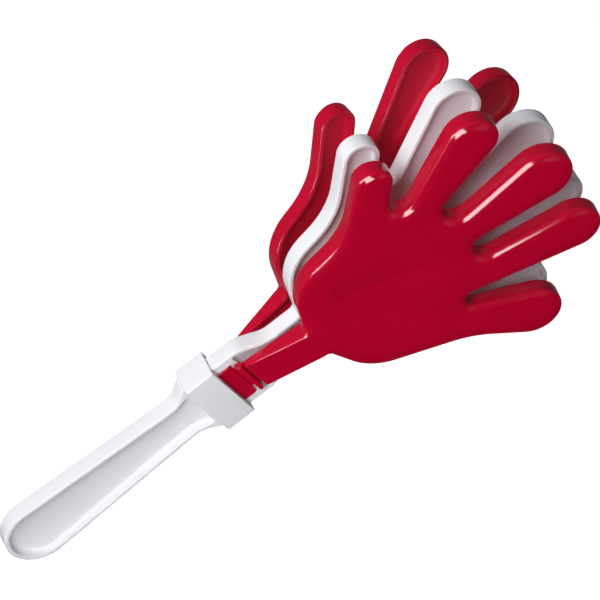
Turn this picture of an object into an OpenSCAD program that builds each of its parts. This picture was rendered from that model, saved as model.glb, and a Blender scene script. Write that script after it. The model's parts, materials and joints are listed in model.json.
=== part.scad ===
// Hand clapper: one white moulding makes the handle and the centre hand. A red hand lies over each of its
// faces and swings on two film hinges. A white sleeve clamps both red roots to the wrist.
//
// Frame: the origin is the middle of the grip, +Z runs up the handle to the fingers, -Y is the front and
// -X is the thumb side. Lengths are in millimetres and angles in degrees. The outlines are drawn in the
// wrist frame, x across and h up from the sleeve's top face.

/* [White moulding] */
// Thickness of the centre hand and the handle
core_t = 7.4; // [6.4:0.1:8.4]
// Width of the rim round the recesses
rim_w = 2.2; // [1.6:0.1:2.8]
// Thickness of the floor between the front and back recesses
core_floor_t = 1.8; // [1.2:0.1:2.4]

/* [Handle] */
// Height of the sleeve's top face above the middle of the grip
wrist_z = 60; // [50:1:70]
// Length of the handle from the sleeve's top face to its rounded end
handle_len = 114; // [95:1:130]
// Radius of the rounded end
handle_end_r = 15; // [13:0.1:16.5]
// Half width of the handle at its slimmest
handle_neck = 10.4; // [9:0.1:11.5]
// Depth of that slimmest place below the sleeve's top face
flare_depth = 25; // [24:0.1:28]
// Radius of the flare that widens the handle under the sleeve
flare_r = 10.5; // [9.5:0.1:12]
// Distance from the sleeve's lower face down to the thumb recess in the handle
recess_below_sleeve = 3.1; // [2:0.1:5]
// Radius of the scooped floor of that recess
scoop_r = 50; // [40:1:80]

/* [Wrist] */
// Half width of the wrist block that the sleeve holds
wrist_half = 15.2; // [14:0.1:17]
// Height of the block's shoulder above the sleeve
shoulder_h = 10.7; // [9.5:0.1:13]
// Radius of the rounded shoulder
shoulder_r = 9; // [7:0.1:11]
// Half width of the slim waist under the palm
waist_half = 8.3; // [7.2:0.1:9.2]
// Height of the waist above the shoulder
waist_h = 16.8; // [15.5:0.1:20]
// Radius of the hollow that leads into the waist
waist_r = 10.5; // [8:0.1:13]
// Width of the ledge under the sleeve
ledge_w = 0.8; // [0.4:0.1:1.5]

/* [Sleeve] */
// Height of the sleeve
sleeve_h = 13.5; // [11:0.1:15]
// Thickness of its front and back walls
sleeve_front_wall = 2.6; // [1.8:0.1:3.4]
// Thickness of its side walls
sleeve_side_wall = 1.4; // [1:0.1:2.2]
// Gap between the side walls and the wrist block
sleeve_gap = 0.2; // [0.1:0.05:0.4]
// Radius of its outer corners
sleeve_corner = 0.9; // [0.4:0.1:1.3]

/* [Palm, all three hands] */
// Height of the middle of the finger fan above the sleeve
palm_h = 67.8; // [64:0.1:72]
// Sideways place of the two rounded heels of the palm
heel_x = 13.6; // [11:0.1:16]
// Radius of the heels
heel_r = 24.8; // [22:0.1:27]
// Height of the small fillets where the palm meets the arm
neck_h = 38; // [36.5:0.1:39.5]
// Radius of those fillets
neck_r = 3; // [2:0.1:4]
// Straight stretch between a neck fillet and its heel
neck_run = 2.05; // [0.5:0.05:4]
// Radius of the hollow side between the heel and the thumb
thumb_side_r = 34.5; // [28:0.5:42]
// Straight stretch between that hollow and the heel
thumb_side_run = 0.2; // [0.1:0.1:3]
// Straight stretch between that hollow and the thumb's tip
thumb_root_run = 3.3; // [0.5:0.1:6]
// Radius of the hollow side between the heel and the little finger
little_side_r = 47.5; // [40:0.5:55]
// Straight stretch between that hollow and the heel
little_side_run = 3.7; // [0.5:0.1:6]
// Straight stretch between that hollow and the little finger's tip
little_root_run = 1.9; // [0.5:0.1:5]

/* [Fingers, all three hands] */
// Direction of the thumb, from upright
thumb_angle = -59; // [-62:0.5:-57]
// Reach of its tip's centre from the middle of the fan
thumb_reach = 68; // [64:0.5:72]
// Radius of its tip
thumb_r = 7.8; // [7:0.1:8.6]
// Direction of the index finger, from upright
index_angle = -32.5; // [-34.5:0.5:-31]
// Reach of its tip's centre from the middle of the fan
index_reach = 88.5; // [84:0.5:93]
// Radius of its tip
index_r = 11; // [10:0.1:11.6]
// Direction of the middle finger, from upright
middle_angle = -5; // [-7:0.5:-4]
// Reach of its tip's centre from the middle of the fan
middle_reach = 85.5; // [81:0.5:90]
// Radius of its tip
middle_r = 12.8; // [11.6:0.1:13.4]
// Direction of the ring finger, from upright
ring_angle = 20; // [19:0.5:23]
// Reach of its tip's centre from the middle of the fan
ring_reach = 85.5; // [81:0.5:90]
// Radius of its tip
ring_r = 11.2; // [10.2:0.1:12.2]
// Direction of the little finger, from upright
little_angle = 53; // [51:0.5:55]
// Reach of its tip's centre from the middle of the fan
little_reach = 73.5; // [70:0.5:78]
// Radius of its tip
little_r = 12.2; // [11:0.1:13]

/* [Webs between the fingers] */
// Direction of the web between thumb and index finger, from upright
web_thumb_angle = -48; // [-49.5:0.5:-46.5]
// Reach of its centre from the middle of the fan
web_thumb_reach = 56; // [53:0.5:59]
// Radius of its hollow
web_thumb_r = 4.7; // [4:0.1:5.4]
// Direction of the web between index and middle finger, from upright
web_index_angle = -21.5; // [-23:0.5:-20]
// Reach of its centre from the middle of the fan
web_index_reach = 56.5; // [53:0.5:60]
// Radius of its hollow
web_index_r = 6.4; // [5.6:0.1:7]
// Direction of the web between middle and ring finger, from upright
web_middle_angle = 9; // [8:0.5:10.5]
// Reach of its centre from the middle of the fan
web_middle_reach = 51; // [48:0.5:54]
// Radius of its hollow
web_middle_r = 6; // [5.2:0.1:6.6]
// Direction of the web between ring and little finger, from upright
web_ring_angle = 45; // [43.5:0.5:46.5]
// Reach of its centre from the middle of the fan
web_ring_reach = 44.5; // [42:0.5:47]
// Radius of its hollow
web_ring_r = 4.3; // [3.6:0.1:5]

/* [Red hands] */
// Depth of the hollow shell at the palm and fingers
hand_depth = 7.4; // [6.4:0.1:8.4]
// Depth of the arm at its hinge end
arm_depth = 3.2; // [2.8:0.1:4]
// Half width of the arm
arm_half = 8.9; // [8.2:0.1:9.6]
// Thickness of the rim that claps on the centre hand
hand_rim = 2.2; // [1.6:0.1:2.6]
// Thickness of the outer skin
skin_t = 2.2; // [1.8:0.1:2.6]
// Radius of the rounded outer edge of the palm and fingers
edge_r = 1.2; // [0.8:0.1:1.6]
// Width of the gently crowned border of the outer face
crown_w = 5; // [3.5:0.1:5.5]
// Fall of that border from the flat of the face to its edge
crown_fall = 0.7; // [0.3:0.05:1]
// Radius of the outer edge of the arm
arm_edge_r = 0.9; // [0.5:0.1:1.2]
// Radius of the arm's two corners at the hinge
arm_corner = 1.5; // [1:0.1:2.2]
// Length of the solid stretch of the arm before its hollow starts
arm_solid = 9; // [7:0.1:12]
// Gap that is left to the centre hand when a hand is closed
clap_gap = 0.3; // [0.2:0.05:0.6]
// Tilt of the front hand away from its closed place, at rest
front_tilt = 4.8; // [2:0.1:12]
// Tilt of the back hand away from its closed place, at rest
back_tilt = 8.4; // [2:0.1:12]

/* [Film hinges] */
// Half width of the root tab
tab_half = 10.8; // [10:0.1:12]
// Thickness of the root tab
tab_t = 1.5; // [1.2:0.1:2]
// Length of the tab inside the sleeve
tab_in = 12.4; // [9:0.1:13]
// Height of the tab above the sleeve
tab_out = 6.2; // [5.2:0.1:6.8]
// Depth of the pocket in the wrist block that takes the tab
pocket_d = 1; // [0.6:0.1:1.3]
// Side play of the tab in its pocket
pocket_play = 0.1; // [0.05:0.05:0.2]
// Thickness of both films
film_t = 0.6; // [0.4:0.05:0.8]
// Length of a film between the thick pieces
film_len = 1; // [0.8:0.1:1.4]
// Half width of the films
film_half = 7.2; // [6:0.1:8]
// Length of the stiff link between the films
link_len = 3; // [2.4:0.1:3.6]
// Space between the link and the bottom of the pocket
link_gap = 0.3; // [0.2:0.05:0.5]
// Distance of the link's outer face from the pocket's bottom
link_out = 3.6; // [3:0.1:4.2]
// Reach of the rounded lug at the link's little finger end, from the middle
lug_reach = 9.6; // [9.2:0.1:10.4]
// Slope of the groove sides, which lets the hinge fold outwards
groove_slope = 16; // [15:1:20]
// Radius of the two pegs that hold each tab
peg_r = 1.5; // [1:0.1:2]
// Sideways place of the pegs
peg_x = 6; // [4:0.1:7]
// Play of the tab's holes round the pegs
peg_play = 0.1; // [0.05:0.05:0.2]

/* [Hidden] */

white = [0.93, 0.93, 0.95];
red = [0.66, 0.02, 0.14];

// Distances from the middle plane outwards: pocket bottom, tab face, link, closed rim of a red hand
face_y = core_t / 2;
pocket_y = face_y - pocket_d;
tab_y = pocket_y + tab_t;
link_y = pocket_y + link_gap;
rim_y = face_y + clap_gap;

// Heights of the hinge pieces above the sleeve
link_h = tab_out + film_len;
upper_film_h = link_h + link_len;
arm_h = upper_film_h + film_len;

// Height of the heels' centres: each heel stands a short straight run off its neck fillet
heel_h = neck_h + sqrt(pow(heel_r + neck_r + neck_run, 2) - pow(arm_half + neck_r - heel_x, 2));

// Turning points of the two films, as distance outwards and height
lower_axis = [link_y + film_t / 2, tab_out + film_len / 2];
upper_axis = [rim_y + film_t / 2, upper_film_h + film_len / 2];

// Recess depth on each face of the white moulding, and where the wrist recess starts
recess_d = (core_t - core_floor_t) / 2;
recess_corner = 1;
recess_lead = 0.6;
recess_h = shoulder_h - recess_lead - recess_corner;

ledge_half = wrist_half + ledge_w;
handle_recess_top = -sleeve_h - recess_below_sleeve;
sleeve_in = [wrist_half + sleeve_gap, tab_y];
sleeve_out = [sleeve_in[0] + sleeve_side_wall, sleeve_in[1] + sleeve_front_wall];

// Small overlap where cutters run past a face
past = 1;
// Fillet between the rim and the floor inside a red hand
inner_fillet = 1;
// Width that the crowned border keeps along the flat arm
arm_border = 0.4;
// Steps of finger tips, webs, palm curves, neck fillets and small corners, and of a shell's edge, crown
// and fillet
tip_steps = 10;
web_steps = 6;
palm_steps = 8;
neck_steps = 4;
corner_steps = 3;
edge_steps = 4;
crown_steps = 3;
fillet_steps = 2;
$fn = 64;

// Outlines: a clockwise chain of circles, each [x, h, signed radius, steps]. The outline runs round the
// outside of circles with a positive radius and the inside of those with a negative one, and straight
// lines join them where they touch.

function ray(angle) = [sin(angle), cos(angle)];
function fan(angle, reach) = [0, palm_h] + reach * ray(angle);
function tip(angle, reach, r, inset) = concat(fan(angle, reach), [r - inset, tip_steps]);
function web(angle, reach, r, inset) = concat(fan(angle, reach), [-r - inset, web_steps]);

// Hollow side of the palm, on the side -1 or 1: it keeps a straight run to the heel and to a finger's tip
function side_hollow(side, finger, r, heel_run, tip_run, inset) =
    let (
        heel = [side * heel_x, heel_h],
        span = [finger[0], finger[1]] - heel,
        u = span / norm(span),
        to_heel = heel_r + r + heel_run,
        to_tip = finger[2] + r + tip_run,
        along = (span * span + to_heel * to_heel - to_tip * to_tip) / (2 * norm(span)),
        out = sqrt(to_heel * to_heel - along * along)
    )
    concat(heel + along * u + side * out * [u[1], -u[0]], [-r - inset, palm_steps]);

// Chain over the palm and the five fingers, from the left neck fillet to the right one
function hand_chain(half, inset) = [
    [-half - neck_r, neck_h, -neck_r - inset, neck_steps],
    [-heel_x, heel_h, heel_r - inset, palm_steps],
    side_hollow(-1, tip(thumb_angle, thumb_reach, thumb_r, 0), thumb_side_r,
                thumb_side_run, thumb_root_run, inset),
    tip(thumb_angle, thumb_reach, thumb_r, inset),
    web(web_thumb_angle, web_thumb_reach, web_thumb_r, inset),
    tip(index_angle, index_reach, index_r, inset),
    web(web_index_angle, web_index_reach, web_index_r, inset),
    tip(middle_angle, middle_reach, middle_r, inset),
    web(web_middle_angle, web_middle_reach, web_middle_r, inset),
    tip(ring_angle, ring_reach, ring_r, inset),
    web(web_ring_angle, web_ring_reach, web_ring_r, inset),
    tip(little_angle, little_reach, little_r, inset),
    side_hollow(1, tip(little_angle, little_reach, little_r, 0), little_side_r,
                little_side_run, little_root_run, inset),
    [heel_x, heel_h, heel_r - inset, palm_steps],
    [half + neck_r, neck_h, -neck_r - inset, neck_steps],
];

// Outward normal of the line that touches circle a and then circle b
function touch(a, b) =
    let (
        span = [b[0] - a[0], b[1] - a[1]],
        u = span / norm(span),
        k = (a[2] - b[2]) / norm(span)
    )
    k * u + sqrt(1 - k * k) * [-u[1], u[0]];

// Turn from one normal to the next: clockwise round a tip, the other way round a web
function turn(from, to, radius) =
    let (a = atan2(from[1], from[0]) - atan2(to[1], to[0]))
    radius >= 0 ? -(((a % 360) + 360) % 360) : (((-a % 360) + 360) % 360);

// Points of the outline, each [x, h, normal x, normal h]
function outline(chain) =
    let (n = len(chain))
    [for (i = [0:n - 1])
        let (
            c = chain[i],
            from = touch(chain[(i + n - 1) % n], c),
            to = touch(c, chain[(i + 1) % n]),
            start = atan2(from[1], from[0]),
            sweep = turn(from, to, c[2])
        )
        for (s = [0:c[3]])
            let (a = start + sweep * s / c[3])
            [c[0] + c[2] * cos(a), c[1] + c[2] * sin(a), cos(a), sin(a)]];

function flat_points(points) = [for (p = points) [p[0], p[1]]];

// Chain of the centre hand with its wrist block, or of the recess in it
function core_chain(inset, corner_r, bottom) =
    let (side = wrist_half - inset - corner_r)
    concat(
        [[-side, bottom + corner_r, corner_r, corner_steps],
         [shoulder_r - wrist_half, shoulder_h, shoulder_r - inset, palm_steps],
         [-waist_half - waist_r, shoulder_h + waist_h, -waist_r - inset, palm_steps]],
        hand_chain(waist_half, inset),
        [[waist_half + waist_r, shoulder_h + waist_h, -waist_r - inset, palm_steps],
         [wrist_half - shoulder_r, shoulder_h, shoulder_r - inset, palm_steps],
         [side, bottom + corner_r, corner_r, corner_steps]]);

// Left side of the handle from the middle of its end up to the given height on the flare
function handle_side(inset, top) =
    let (
        end = [0, handle_end_r - handle_len, handle_end_r],
        flare = [-handle_neck - flare_r, -flare_depth, -flare_r],
        m = touch(end, flare),
        lean = atan2(m[1], m[0]),
        side = (lean + 360) % 360,
        r = flare_r + inset,
        stop = asin((top + flare_depth) / r)
    )
    concat(
        [for (s = [0:palm_steps])
            let (a = 270 + (side - 270) * s / palm_steps)
            [end[0] + (end[2] - inset) * cos(a), end[1] + (end[2] - inset) * sin(a)]],
        [for (s = [0:palm_steps])
            let (a = (side - 180) + (stop - (side - 180)) * s / palm_steps)
            [flare[0] + r * cos(a), flare[1] + r * sin(a)]]);

function mirrored(points) = [for (i = [len(points) - 1:-1:1]) [-points[i][0], points[i][1]]];
function both_sides(points) = concat(points, mirrored(points));

// Lift from the wrist frame to the part's own frame
module at_wrist() {
    translate([0, 0, wrist_z])
        children();
}

// Upright plate between two distances from the middle plane, from an outline in x and h
module plate(from, to) {
    translate([0, -from, 0])
        rotate([90, 0, 0])
            linear_extrude(to - from)
                children();
}

// Swing the children outwards about a film
module swing(axis, angle) {
    translate([0, -axis[0], axis[1]])
        rotate([angle, 0, 0])
            translate([0, axis[0], -axis[1]])
                children();
}

// The front is drawn, and the back is its mirror image
module on_side(side) {
    at_wrist()
        if (side == "front")
            children();
        else
            mirror([0, 1, 0])
                children();
}

function tilt_of(side) = side == "front" ? front_tilt : back_tilt;

module core_outline() {
    polygon(flat_points(outline(core_chain(0, 0, -sleeve_h - ledge_w))));
}

module core_recess_outline() {
    polygon(flat_points(outline(core_chain(rim_w, recess_corner, recess_h))));
}

module handle_outline() {
    stop = flare_r * sqrt(1 - pow((flare_r + handle_neck - ledge_half) / flare_r, 2)) - flare_depth;
    polygon(both_sides(concat(handle_side(0, stop), [[-ledge_half, -sleeve_h]])));
}

module handle_recess_outline() {
    polygon(both_sides(handle_side(rim_w, handle_recess_top)));
}

// Recesses, tab pocket and pegs of one face
module core_face_cuts() {
    plate(face_y - recess_d, face_y + past)
        core_recess_outline();
    intersection() {
        plate(0, face_y + past)
            handle_recess_outline();
        translate([0, -(face_y - recess_d) - scoop_r, -handle_len])
            cylinder(r = scoop_r, h = handle_len);
    }
    pocket_half = tab_half + pocket_play;
    plate(pocket_y, face_y + past)
        translate([-pocket_half, -tab_in])
            square([2 * pocket_half, tab_in + recess_h + past]);
}

module core_pegs() {
    for (x = [-peg_x, peg_x])
        plate(pocket_y - past, pocket_y + tab_t - peg_play)
            translate([x, -sleeve_h / 2])
                circle(peg_r);
}

module centre_hand_handle() {
    color(white)
        at_wrist() {
            difference() {
                plate(-face_y, face_y)
                    union() {
                        core_outline();
                        handle_outline();
                    }
                core_face_cuts();
                mirror([0, 1, 0])
                    core_face_cuts();
            }
            core_pegs();
            mirror([0, 1, 0])
                core_pegs();
        }
}

module rounded_box(half, r) {
    square([2 * half[0], 2 * half[1] - 2 * r], center = true);
    square([2 * half[0] - 2 * r, 2 * half[1]], center = true);
    for (x = [-1, 1], y = [-1, 1])
        translate([x * (half[0] - r), y * (half[1] - r)])
            circle(r);
}

module clamp_sleeve() {
    color(white)
        at_wrist()
            translate([0, 0, -sleeve_h])
                linear_extrude(sleeve_h)
                    difference() {
                        rounded_box(sleeve_out, sleeve_corner);
                        square(2 * sleeve_in, center = true);
                    }
}

// Root tab: a flat tongue under the sleeve, with a sloped upper edge beside the lower film
module root_tab(side) {
    slope = tan(groove_slope);
    color(red)
        on_side(side)
            difference() {
                rotate([90, 0, -90])
                    linear_extrude(2 * tab_half, center = true)
                        polygon([[pocket_y, -tab_in],
                                 [pocket_y, tab_out],
                                 [link_y + film_t, tab_out],
                                 [tab_y, tab_out - (tab_y - link_y - film_t) * slope],
                                 [tab_y, -tab_in]]);
                for (x = [-peg_x, peg_x])
                    plate(pocket_y - past, tab_y + past)
                        translate([x, -sleeve_h / 2])
                            circle(peg_r + peg_play);
            }
}

// Point of a film's corner after the pieces beyond the axis have swung
function swung(p, axis, angle) =
    let (d = p - axis)
    [axis[0] + d[0] * cos(angle) + d[1] * sin(angle), axis[1] + d[1] * cos(angle) - d[0] * sin(angle)];

// Film bent by the angle between its two ends, drawn across the hinge
module film(axis, angle) {
    near = axis - [film_t, film_len] / 2;
    far = axis + [film_t, film_len] / 2;
    rotate([90, 0, -90])
        linear_extrude(2 * film_half, center = true)
            polygon([near,
                     swung([near[0], far[1]], axis, angle),
                     swung(far, axis, angle),
                     [far[0], near[1]]]);
}

module lower_film(side) {
    color(red)
        on_side(side)
            film(lower_axis, tilt_of(side) / 2);
}

// Hinge link: a short stiff bar between the films, with a rounded lug at its little finger end
module hinge_link(side) {
    slope = tan(groove_slope);
    outer = pocket_y + link_out;
    lug_r = link_len / 2;
    color(red)
        on_side(side)
            swing(lower_axis, tilt_of(side) / 2)
                intersection() {
                    rotate([90, 0, -90])
                        linear_extrude(2 * lug_reach + past, center = true)
                            polygon([[link_y, link_h],
                                     [link_y, upper_film_h],
                                     [rim_y + film_t, upper_film_h],
                                     [outer, upper_film_h - (outer - rim_y - film_t) * slope],
                                     [outer, link_h + (outer - link_y - film_t) * slope],
                                     [link_y + film_t, link_h]]);
                    plate(0, outer + past) {
                        translate([-film_half, link_h])
                            square([film_half + lug_reach - lug_r, link_len]);
                        translate([lug_reach - lug_r, link_h + lug_r])
                            circle(lug_r);
                    }
                }
}

module upper_film(side) {
    color(red)
        on_side(side)
            swing(lower_axis, tilt_of(side) / 2)
                film(upper_axis, tilt_of(side) / 2);
}

// Chain of a red hand with its arm, or of the hollow in it
function red_chain(inset, corner_r, bottom) =
    let (side = arm_half - inset - corner_r)
    concat(
        [[-side, bottom + corner_r, corner_r, corner_steps]],
        hand_chain(arm_half, inset),
        [[side, bottom + corner_r, corner_r, corner_steps]]);

// Outer depth of the shell: the arm is a wedge that reaches full depth where the palm starts
function shell_depth(h) =
    h >= neck_h ? hand_depth : arm_depth + (hand_depth - arm_depth) * (h - arm_h) / (neck_h - arm_h);

// Share of the palm's edge form at each outline point: none along the arm, growing round the neck fillets
function palm_share(i, count) =
    let (arm_points = corner_steps + 1)
    max(0, min(1, (min(i, count - 1 - i) - arm_points) / neck_steps));

// Edge of the outer face at a palm share: radius of the rounded edge, width of the crowned border, and the
// lean of the border where the edge runs into it
function edge_form(share) =
    let (border = arm_border + (crown_w - arm_border) * share)
    [arm_edge_r + (edge_r - arm_edge_r) * share, border, atan(2 * crown_fall * share / border)];

// Ring of the shell, moved at each point by [inset from the outline, fall below the outer face]
function shell_ring(points, moves) =
    [for (i = [0:len(points) - 1])
        let (p = points[i], inset = moves[i][0], h = p[1] - p[3] * inset)
        [p[0] - p[2] * inset, -(shell_depth(h) - moves[i][1]), h]];

// Rings over the rounded edge, from the wall at part 0 to the start of the crown at part 1
function edge_ring(points, part) =
    shell_ring(points, [for (i = [0:len(points) - 1])
        let (
            share = palm_share(i, len(points)),
            form = edge_form(share),
            a = part * (90 - form[2])
        )
        [form[0] * (1 - cos(a)), crown_fall * share + form[0] * (cos(form[2]) - sin(a))]]);

// Rings over the crowned border, which flattens out towards the middle of the face at part 1
function crown_ring(points, part) =
    shell_ring(points, [for (i = [0:len(points) - 1])
        let (share = palm_share(i, len(points)), form = edge_form(share))
        [form[0] * (1 - sin(form[2])) + form[1] * part, crown_fall * share * pow(1 - part, 2)]]);

// Ring of the hollow, from its wall, at angle 0, round the fillet to its floor, at angle 90
function inner_ring(points, angle) =
    [for (p = points)
        let (in = inner_fillet * (1 - cos(angle)), h = p[1] - p[3] * in)
        [p[0] - p[2] * in, -(shell_depth(h) - skin_t - inner_fillet * (1 - sin(angle))), h]];

function rim_ring(points) = [for (p = points) [p[0], 0, p[1]]];

function reversed(list) = [for (i = [len(list) - 1:-1:0]) list[i]];

// A corner b of a clockwise outline is an ear when it turns clockwise and no other point lies in it
function clockwise(a, b, c) = cross([b[0] - a[0], b[2] - a[2]], [c[0] - a[0], c[2] - a[2]]) < 0;
function is_ear(ring, left, k) =
    let (
        n = len(left),
        ids = [for (i = [0:2]) left[(k + i) % n]],
        a = ring[ids[0]],
        b = ring[ids[1]],
        c = ring[ids[2]]
    )
    clockwise(a, b, c) && len([for (i = left)
        let (p = ring[i])
        if (i != ids[0] && i != ids[1] && i != ids[2]
            && clockwise(a, b, p) && clockwise(b, c, p) && clockwise(c, a, p)) i]) == 0;
function first_ear(ring, left, k) =
    k == len(left) || is_ear(ring, left, k) ? k % len(left) : first_ear(ring, left, k + 1);

// Triangles of a flat ring, from the points still left: each ear is cut off and the search goes on behind it
function cut_ears(ring, left) =
    let (n = len(left), k = first_ear(ring, left, 0))
    n == 3 ? [left] : concat(
        [[for (i = [0:2]) left[(k + i) % n]]],
        cut_ears(ring, [for (i = [2:n]) left[(k + i) % n]]));

// Triangles that close a ring: one set on the palm and one on the sloping arm
function cap_faces(ring) =
    let (n = len(ring), a = corner_steps + 1, b = n - 2 - corner_steps)
    concat(
        cut_ears(ring, [for (i = [a:b]) i]),
        cut_ears(ring, [for (i = [b:n + a]) i % n]));

// Shell of a red hand, one skin from the floor of the hollow, over the rim, to the outer face
module hand_shell() {
    outer = outline(red_chain(0, arm_corner, arm_h));
    inner = outline(red_chain(hand_rim, inner_fillet, arm_h + arm_solid));
    rings = concat(
        [for (s = [fillet_steps:-1:0]) inner_ring(inner, 90 * s / fillet_steps)],
        [rim_ring(inner), rim_ring(outer)],
        [for (s = [0:edge_steps]) edge_ring(outer, s / edge_steps)],
        [for (s = [1:crown_steps]) crown_ring(outer, s / crown_steps)]);
    n = len(outer);
    bands = [for (k = [0:len(rings) - 2], i = [0:n - 1])
        let (j = (i + 1) % n)
        [k * n + i, k * n + j, (k + 1) * n + j, (k + 1) * n + i]];
    last = len(rings) - 1;
    floor_caps = [for (f = cap_faces(rings[0])) reversed(f)];
    outer_caps = [for (f = cap_faces(rings[last])) [for (i = f) last * n + i]];
    translate([0, -rim_y, 0])
        polyhedron([for (r = rings) each r], concat(floor_caps, bands, outer_caps), convexity = 12);
}

module red_hand(side) {
    color(red)
        on_side(side)
            swing(lower_axis, tilt_of(side) / 2)
                swing(upper_axis, tilt_of(side) / 2)
                    hand_shell();
}

centre_hand_handle();
clamp_sleeve();
root_tab("front");  // front_root_tab
lower_film("front");  // front_lower_film
hinge_link("front");  // front_hinge_link
upper_film("front");  // front_upper_film
red_hand("front");  // front_hand
root_tab("back");  // back_root_tab
lower_film("back");  // back_lower_film
hinge_link("back");  // back_hinge_link
upper_film("back");  // back_upper_film
red_hand("back");  // back_hand
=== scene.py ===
# %% [markdown]
# # A hand clapper in red and white plastic
# A party noisemaker: a white paddle with a flat hand at its end, and a hollow red hand hinged over each
# face of it, so that the three clap when it is shaken. The engineering model is loaded first. It stays as
# a fixed frame, and every piece below is a finer copy of one of its pieces in the same place.

# %% Load the frame
import json
import math
import bmesh
import bpy
from mathutils import Matrix, Vector
from mathutils.geometry import delaunay_2d_cdt


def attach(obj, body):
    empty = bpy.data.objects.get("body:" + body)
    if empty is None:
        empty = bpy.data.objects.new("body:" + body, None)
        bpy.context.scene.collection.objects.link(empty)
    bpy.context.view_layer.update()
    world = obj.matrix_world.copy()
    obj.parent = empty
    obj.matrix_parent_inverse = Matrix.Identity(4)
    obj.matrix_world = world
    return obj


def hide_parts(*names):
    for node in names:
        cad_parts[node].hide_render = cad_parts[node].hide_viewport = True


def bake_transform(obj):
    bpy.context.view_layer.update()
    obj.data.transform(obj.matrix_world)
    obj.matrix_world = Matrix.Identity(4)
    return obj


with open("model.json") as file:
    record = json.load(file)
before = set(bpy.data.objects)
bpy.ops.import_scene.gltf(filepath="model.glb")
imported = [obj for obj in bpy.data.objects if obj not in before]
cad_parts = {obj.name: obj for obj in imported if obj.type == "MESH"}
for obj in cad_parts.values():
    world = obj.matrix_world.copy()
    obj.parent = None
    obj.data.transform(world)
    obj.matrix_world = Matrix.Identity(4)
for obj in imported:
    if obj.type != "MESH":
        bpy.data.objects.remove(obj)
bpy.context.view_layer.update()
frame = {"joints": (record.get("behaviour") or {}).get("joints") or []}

# %% [markdown]
# ## The camera
# The photograph looks at the thumb side and a little down on the front, from far away with a long lens,
# and the clapper leans to the right in it. A camera that stays level could not show that lean, so it is
# placed by its eye and its aim and then rolled about its own line of sight.

# %% Camera
EYE = Vector((-1.18739, -1.04861, 0.36002))
AIM = Vector((-0.00360, 0.00757, 0.10280))
ROLL = math.radians(52.4)


def add_object(name, data):
    thing = bpy.data.objects.new(name, data)
    bpy.context.collection.objects.link(thing)
    return thing


forward = (AIM - EYE).normalized()
level = forward.cross(Vector((0, 0, 1))).normalized()
rise = level.cross(forward)
across = math.cos(ROLL) * level + math.sin(ROLL) * rise
upward = across.cross(forward)

camera = add_object("photo_camera", bpy.data.cameras.new("photo_camera"))
camera.data.sensor_width = 36
camera.data.lens = 241.3
camera.data.clip_end = 20
camera_turn = Matrix((across, upward, -forward)).transposed().to_4x4()
camera.matrix_world = Matrix.Translation(EYE) @ camera_turn
bpy.context.scene.camera = camera
bpy.context.scene.view_settings.view_transform = "Standard"
print("camera:", round((AIM - EYE).length, 3), "m from the clapper")

# %% [markdown]
# ## Wiring nodes
# Materials and Geometry Nodes are both trees of nodes. Written out in full, each node takes a line to add,
# one for each setting and one for each link. This small helper does all three at once: it adds a node,
# feeds its inputs with a value or with another node's output, and hands back one of its outputs. Below, `w`
# is the wiring of the tree in hand, and plain words such as `plus` and `times` stand for its math nodes.

# %% Node helper
class Wiring:
    def __init__(self, tree):
        self.tree = tree

    def feed(self, socket, value):
        if isinstance(value, bpy.types.NodeSocket):
            self.tree.links.new(value, socket)
        else:
            socket.default_value = value

    def add(self, kind, feeds=None, out=0, **settings):
        node = self.tree.nodes.new(kind)
        for name, value in settings.items():
            setattr(node, name, value)
        for socket, value in (feeds or {}).items():
            self.feed(node.inputs[socket], value)
        return node.outputs[out]

    def math(self, operation, a, b=0.0):
        return self.add("ShaderNodeMath", {0: a, 1: b}, operation=operation)

    def plus(self, a, b):
        return self.math("ADD", a, b)

    def minus(self, a, b):
        return self.math("SUBTRACT", a, b)

    def times(self, a, b):
        return self.math("MULTIPLY", a, b)

    def over(self, a, b):
        return self.math("DIVIDE", a, b)

    def mix(self, factor, a, b):
        return self.plus(a, self.times(factor, self.minus(b, a)))

    def mix_colour(self, factor, a, b):
        # The Mix node has its colour sockets at places 6 and 7, and its colour result at place 2.
        return self.add("ShaderNodeMix", {0: factor, 6: a, 7: b}, out=2, data_type="RGBA")

    def ramp(self, value, start, stop, low=0.0, high=1.0, **settings):
        feeds = {"Value": value, "From Min": start, "From Max": stop, "To Min": low, "To Max": high}
        return self.add("ShaderNodeMapRange", feeds, **settings)

    def noise(self, place, scale, detail=2.0, roughness=0.5, out=0):
        feeds = {"Vector": place, "Scale": scale, "Detail": detail, "Roughness": roughness}
        return self.add("ShaderNodeTexNoise", feeds, out=out)

    def vector(self, operation, a, b):
        return self.add("ShaderNodeVectorMath", {0: a, 1: b}, operation=operation)

    def scaled(self, vector, factor):
        return self.add("ShaderNodeVectorMath", {0: vector, "Scale": factor}, operation="SCALE")

    def dot(self, a, b):
        return self.add("ShaderNodeVectorMath", {0: a, 1: b}, out="Value", operation="DOT_PRODUCT")

    def split(self, vector):
        node = self.tree.nodes.new("ShaderNodeSeparateXYZ")
        self.feed(node.inputs[0], vector)
        return node.outputs

    def point(self, x, y, z):
        return self.add("ShaderNodeCombineXYZ", {0: x, 1: y, 2: z})


def new_group(name, kind, inputs, outputs):
    tree = bpy.data.node_groups.new(name, kind)
    for in_out, sockets in (("INPUT", inputs), ("OUTPUT", outputs)):
        for label, socket_type, value in sockets:
            socket = tree.interface.new_socket(label, in_out=in_out, socket_type=socket_type)
            if value is not None:
                socket.default_value = value
    given = tree.nodes.new("NodeGroupInput").outputs
    result = tree.nodes.new("NodeGroupOutput").inputs
    return tree, Wiring(tree), given, result


print("node helper:", sum(1 for word in vars(Wiring) if not word.startswith("_")), "words")

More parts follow.
